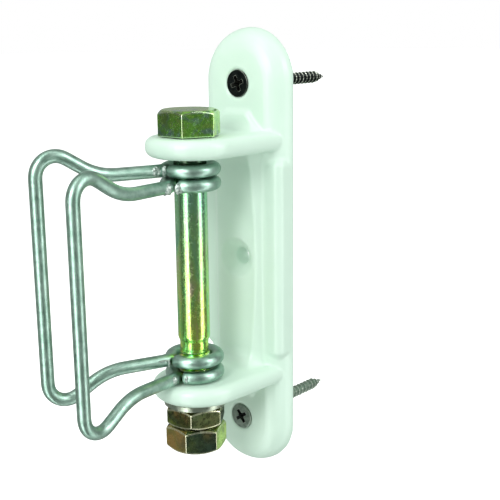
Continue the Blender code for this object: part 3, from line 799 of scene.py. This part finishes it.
def make_beads(material):
    """The eyes' cut ends are tacked to the arms: each joint has its own lumps."""
    lower_a, lower_b = ((turn, lift, -spacing) for turn, lift, spacing in (LOOP_A, LOOP_B))
    for name, body, frame_of, centre, radii, lean in (
        ("weld_a_top_arm", "loop_a", LOOP_A, (11.6, 1.1, 0.1), (1.9, 1.1, 1.6), 4),
        ("weld_a_top_end", "loop_a", LOOP_A, (9.0, 1.2, 0.1), (1.1, 1.2, 1.75), 0),
        ("weld_b_top_arm", "loop_b", LOOP_B, (11.7, 0.8, -0.3), (1.9, 1.55, 1.8), 0),
        ("weld_b_top_end", "loop_b", LOOP_B, (8.75, 2.95, -0.35), (0.4, 1.3, 1.55), 38),
        ("weld_a_low_arm", "loop_a", lower_a, (11.3, 1.85, 0.65), (1.7, 0.5, 0.35), 0),
        ("weld_a_low_end", "loop_a", lower_a, (9.6, 1.95, -0.5), (0.4, 0.55, 1.35), 0),
        ("weld_b_low_arm", "loop_b", lower_b, (11.4, 1.2, 0.2), (1.4, 1.1, 1.3), 0),
        ("weld_b_low_end", "loop_b", lower_b, (8.15, 3.85, 0.1), (0.35, 0.8, 1.25), 42),
    ):
        make_bead(name, body, *frame_of, centre, radii, lean, material)


# Wood screws


def screw_row(radius, depth, height, angles):
    """A row round a screw's axis, at a depth in front of the back face."""
    radius = np.broadcast_to(radius, angles.shape)
    depths = np.full_like(angles, -depth)
    return np.stack([radius * np.cos(angles), depths, height + radius * np.sin(angles)], axis=1)


def screw_head(face):
    """Flat face, countersunk cone and plain neck, as (radius, depth) pairs."""
    flat = [(r, face - 0.04, 0) for r in np.arange(0.3, 3.9, 0.18)]
    return rounded(
        flat
        + [
            (SCREW_HEAD_RADIUS, face - 0.08, 0.25),
            (SCREW_HEAD_RADIUS, face - 0.42, 0.15),
            (2.1, face - 2.35, 0.6),
            (SCREW_NECK_RADIUS, face - 5.0, 0.3),
            (SCREW_NECK_RADIUS, -4.0, 0),
        ],
        5,
    )


def screw_thread_radius(depth, from_tip, angles):
    """Sharp ridges on a core, both of them thinner towards the point."""
    core = SCREW_CORE_RADIUS * min(1.0, 0.12 + from_tip / 7.5)
    crest = SCREW_NECK_RADIUS * min(1.0, 0.16 + from_tip / 6.0)
    phase = (depth / SCREW_PITCH + angles / (2 * math.pi)) % 1.0
    ridge = np.maximum(0.0, 1 - np.abs(phase - 0.5) * 4.2) ** 0.8
    return core + (crest - core) * ridge


def make_screw(name, node, turn, material):
    """Countersunk head with a cross recess, plain neck, and a thread that runs out into the point."""
    angles = sides(96)
    low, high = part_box(node)
    height = (low.z + high.z) / 2 / MM
    face, tip = -low.y / MM, high.y / MM
    rows = [screw_row(r, depth, height, angles) for r, depth in screw_head(face)]
    step = SCREW_PITCH / SCREW_THREAD_ROWS
    for i in range(int((tip + SCREW_THREAD_START) / step)):
        depth = SCREW_THREAD_START - step * i
        fade = min(1.0, i / 10)
        radius = screw_thread_radius(depth, tip + depth, angles) * fade + SCREW_NECK_RADIUS * (1 - fade)
        rows.append(screw_row(radius, depth, height, angles))
    rows.append(screw_row(0.12, -tip, height, angles))
    screw = skin(name, rows, material, node, "bracket", ring=False)
    for cutter in recess_cutters(height, face, turn):
        cut_out(screw, cutter)
    screw.data.shade_smooth()
    screw.data.set_sharp_from_angle(angle=math.radians(30))
    give(screw, material)
    mark_edges(screw, 50.0)
    mark_recess(screw.data, height, face)


def cut_out(piece, cutter):
    """Take the cutter's shape out of the piece, and remove the cutter."""
    step = piece.modifiers.new("recess", "BOOLEAN")
    step.object = cutter
    step.solver = "MANIFOLD"
    graph = bpy.context.evaluated_depsgraph_get()
    mesh = bpy.data.meshes.new_from_object(piece.evaluated_get(graph))
    piece.modifiers.clear()
    piece.data = mesh
    bpy.data.objects.remove(cutter, do_unlink=True)


def mark_recess(mesh, height, face):
    """Store 1 on the faces inside the recess, for the painted shade there."""
    inside = []
    for polygon in mesh.polygons:
        spot = polygon.center / MM
        depth = spot.y + face
        away = math.hypot(spot.x, spot.z - height)
        inside.append(float(0.1 < depth < 2.6 and away < 2.7 - 0.65 * depth))
    layer = mesh.attributes.new("recess", "FLOAT", "FACE")
    layer.data.foreach_set("value", inside)


def recess_wing(turn, depth):
    """One arm-to-arm wing of the cross."""
    shape = bmesh.new()
    for v in bmesh.ops.create_cube(shape, size=2.0)["verts"]:
        low = v.co.z < 0
        length, width = WING_AT_BOTTOM if low else WING_AT_TOP
        v.co.x *= length
        v.co.y *= width
        v.co.z = -depth if low else CUTTER_TOP
    spin = Matrix.Rotation(math.radians(turn), 4, "Z")
    bmesh.ops.transform(shape, matrix=spin, verts=shape.verts)
    return shape


def recess_cone():
    """The pit in the middle of the cross."""
    shape = bmesh.new()
    bmesh.ops.create_cone(
        shape,
        cap_ends=True,
        segments=24,
        radius1=0.3,
        radius2=1.3,
        depth=CUTTER_TOP + CONE_DEPTH,
        matrix=Matrix.Translation((0.0, 0.0, (CUTTER_TOP - CONE_DEPTH) / 2)),
    )
    return shape


def recess_cutters(height, face, turn):
    """Two crossed wings that narrow towards the bottom, and a small cone where they meet."""
    stand = Matrix.Translation((0.0, -face, height)) @ Matrix.Rotation(math.radians(90), 4, "X")
    cutters = []
    for shape in (recess_wing(turn, WING_DEPTH), recess_wing(turn + 90, WING_DEPTH + 0.05), recess_cone()):
        bmesh.ops.transform(shape, matrix=Matrix.Scale(MM, 4) @ stand, verts=shape.verts)
        mesh = bpy.data.meshes.new("recess")
        shape.to_mesh(mesh)
        shape.free()
        cutter = bpy.data.objects.new("recess", mesh)
        bpy.context.scene.collection.objects.link(cutter)
        cutters.append(cutter)
    return cutters


# Studio. Lengths are in metres and angles in degrees

FLOOR_HEIGHT = -0.16
FLOOR_GLOW = 0.60
SKY_POWER = 0.72

# Bright upright bands in what metal mirrors: the middle and half width of each as shares of a turn
# that starts behind the part, and its extra power
STRIPS = ((0.512, 0.036, 4.0), (0.803, 0.032, 2.4))

CAMERA_AZIMUTH = 40.82
CAMERA_PITCH = 13.96
CAMERA_ROLL = -0.72
CAMERA_TARGET = Vector((6.59, -15.0, -1.32)) * MM
CAMERA_DISTANCE = 0.31796
CAMERA_LENS = 72.6624
CAMERA_SHIFT = (0.01882, 0.03506)


def area_light(name, azimuth, elevation, distance, size, power, colour=(1.0, 1.0, 1.0)):
    """A square soft light. Azimuth 0 is in front of the part, and it grows towards +X."""
    a, e = math.radians(azimuth), math.radians(elevation)
    away = Vector((math.sin(a) * math.cos(e), -math.cos(a) * math.cos(e), math.sin(e)))
    data = bpy.data.lights.new(name, "AREA")
    data.shape = "SQUARE"
    data.size = size
    data.energy = power
    data.color = colour
    lamp = bpy.data.objects.new(name, data)
    bpy.context.scene.collection.objects.link(lamp)
    lamp.location = Vector((0.0, -0.03, 0.0)) + away * distance
    lamp.rotation_euler = away.to_track_quat("Z", "Y").to_euler()
    return lamp


def make_camera():
    """The photograph's viewing angle: to the right of the front and a little above."""
    azimuth, pitch, roll = (math.radians(a) for a in (CAMERA_AZIMUTH, CAMERA_PITCH, CAMERA_ROLL))
    back = Vector(
        (
            math.sin(azimuth) * math.cos(pitch),
            -math.cos(azimuth) * math.cos(pitch),
            math.sin(pitch),
        )
    )
    right = Vector((math.cos(azimuth), math.sin(azimuth), 0.0))
    up = back.cross(right)
    side = right * math.cos(roll) + up * math.sin(roll)
    top = up * math.cos(roll) - right * math.sin(roll)
    data = bpy.data.cameras.new("camera")
    data.sensor_width = 36.0
    data.lens = CAMERA_LENS
    data.shift_x, data.shift_y = CAMERA_SHIFT
    data.clip_start = 0.01
    data.clip_end = 50.0
    camera = bpy.data.objects.new("camera", data)
    camera.matrix_world = Matrix((side, top, back)).transposed().to_4x4()
    camera.location = CAMERA_TARGET + back * CAMERA_DISTANCE
    bpy.context.scene.collection.objects.link(camera)
    bpy.context.scene.camera = camera


def strip(t, side, middle, half):
    """1 inside an upright band of the surroundings and 0 outside, with soft borders."""
    away = t.math("ABSOLUTE", t.math("SUBTRACT", side, middle))
    return t.remap(away, half * 0.7, half * 1.3, 1.0, 0.0)


def stage_piece(name, create, **settings):
    """A part of the studio made by one bmesh call."""
    mesh = bpy.data.meshes.new(name)
    shape = bmesh.new()
    create(shape, **settings)
    shape.to_mesh(mesh)
    shape.free()
    piece = bpy.data.objects.new(name, mesh)
    bpy.context.scene.collection.objects.link(piece)
    return piece


def glow(t, colour, power):
    """Turn a tree's surface into plain light."""
    light = t.add("ShaderNodeEmission")
    t.put(light, "Color", colour)
    t.put(light, "Strength", power)
    t.nodes.remove(t.shader)
    t.join(light.outputs[0], t.nodes["Material Output"].inputs["Surface"])
    return t.material


def make_backdrop():
    """A pale room that only the camera sees."""
    room = stage_piece("backdrop", bmesh.ops.create_uvsphere, u_segments=32, v_segments=16, radius=7.0)
    room.visible_diffuse = False
    room.visible_glossy = False
    room.visible_shadow = False
    room.visible_transmission = False
    give(room, glow(Tree("backdrop"), (1.0, 1.0, 1.0, 1.0), 1.0))


def make_surroundings():
    """What bright metal mirrors: a dim room with a pale side, a dome that only glossy rays meet."""
    dome = stage_piece("surroundings", bmesh.ops.create_uvsphere, u_segments=48, v_segments=24, radius=4.0)
    dome.visible_camera = False
    dome.visible_diffuse = False
    dome.visible_shadow = False
    dome.visible_transmission = False
    t = Tree("surroundings")
    split = t.add("ShaderNodeSeparateXYZ")
    t.join(t.coordinates(), split.inputs[0])
    turn = t.math("ARCTAN2", split.outputs["X"], t.math("MULTIPLY", split.outputs["Y"], -1.0))
    side = t.remap(turn, -math.pi, math.pi, 0.0, 1.0)
    tone = t.ramp(
        side,
        [
            (0.00, (0.42, 0.44, 0.42)),
            (0.33, (0.42, 0.44, 0.42)),
            (0.39, (0.17, 0.19, 0.18)),
            (0.455, (0.17, 0.19, 0.18)),
            (0.90, (0.24, 0.26, 0.24)),
            (1.00, (0.42, 0.44, 0.42)),
        ],
    )
    power = 1.0
    for middle, half, extra in STRIPS:
        band = strip(t, side, middle, half)
        tone = t.mix(band, tone, (1.0, 1.0, 1.0))
        power = t.math("ADD", t.math("MULTIPLY", band, extra), power)
    give(dome, glow(t, tone, power))


def make_floor():
    """Plain, pale and bright. Only the camera sees it, so the part is lit evenly all round."""
    floor = stage_piece("floor", bmesh.ops.create_grid, x_segments=1, y_segments=1, size=6.0)
    floor.location = (0.0, 0.0, FLOOR_HEIGHT)
    floor.visible_glossy = False
    floor.visible_diffuse = False
    t = Tree("floor")
    t.put(t.shader, "Emission Color", (1.0, 1.0, 1.0, 1.0))
    t.put(t.shader, "Emission Strength", FLOOR_GLOW)
    give(floor, t.finish(Base_Color=(0.93, 0.89, 0.91, 1.0), Roughness=0.8))


def make_studio():
    """An even pale sky, four soft lights and what the metal mirrors."""
    world = bpy.data.worlds.new("studio")
    world.use_nodes = True
    sky = world.node_tree.nodes["Background"]
    sky.inputs["Color"].default_value = (0.90, 1.0, 0.94, 1.0)
    sky.inputs["Strength"].default_value = SKY_POWER
    bpy.context.scene.world = world
    bpy.context.scene.view_settings.view_transform = "Standard"
    make_floor()
    area_light("key", 13.0, 28.0, 0.9, 0.26, 3.2)
    fill = area_light("fill", -25.0, -5.0, 0.9, 0.5, 0.5)
    fill.visible_glossy = False
    area_light("rim", 105.0, 25.0, 0.9, 0.30, 1.75)
    area_light("top", -30.0, 75.0, 1.0, 0.7, 1.5, (0.97, 1.0, 0.97))
    make_surroundings()
    make_backdrop()


make_camera()
make_studio()

plastic = plastic_material()
wire = wire_material()
weld = weld_material()
bolt_zinc = bolt_material()
nut_zinc = nut_material()
washer_zinc = washer_material()
black_screw = screw_material(
    "black_screw", (0.006, 0.009, 0.009), (0.022, 0.028, 0.026), (0.95, 1.0, 0.86), 0.34
)
grey_screw = screw_material(
    "grey_screw", (0.18, 0.24, 0.19), (0.34, 0.42, 0.35), (0.80, 0.86, 0.78), 0.40
)

make_bracket(plastic)
make_bolt(bolt_zinc)
make_washer(washer_zinc)
make_nut("upper_nut_fine", "upper_nut", UPPER_NUT_TURN, UPPER_NUT_TINTS, nut_zinc)
make_nut("lower_nut_fine", "lower_nut", LOWER_NUT_TURN, LOWER_NUT_TINTS, nut_zinc)
make_loop("loop_a_fine", "wire_loop_a", "loop_a", *LOOP_A, wire)
make_loop("loop_b_fine", "wire_loop_b", "loop_b", *LOOP_B, wire)
make_beads(weld)
make_screw("upper_screw_fine", "upper_screw", 20.0, black_screw)
make_screw("lower_screw_fine", "lower_screw", 35.0, grey_screw)
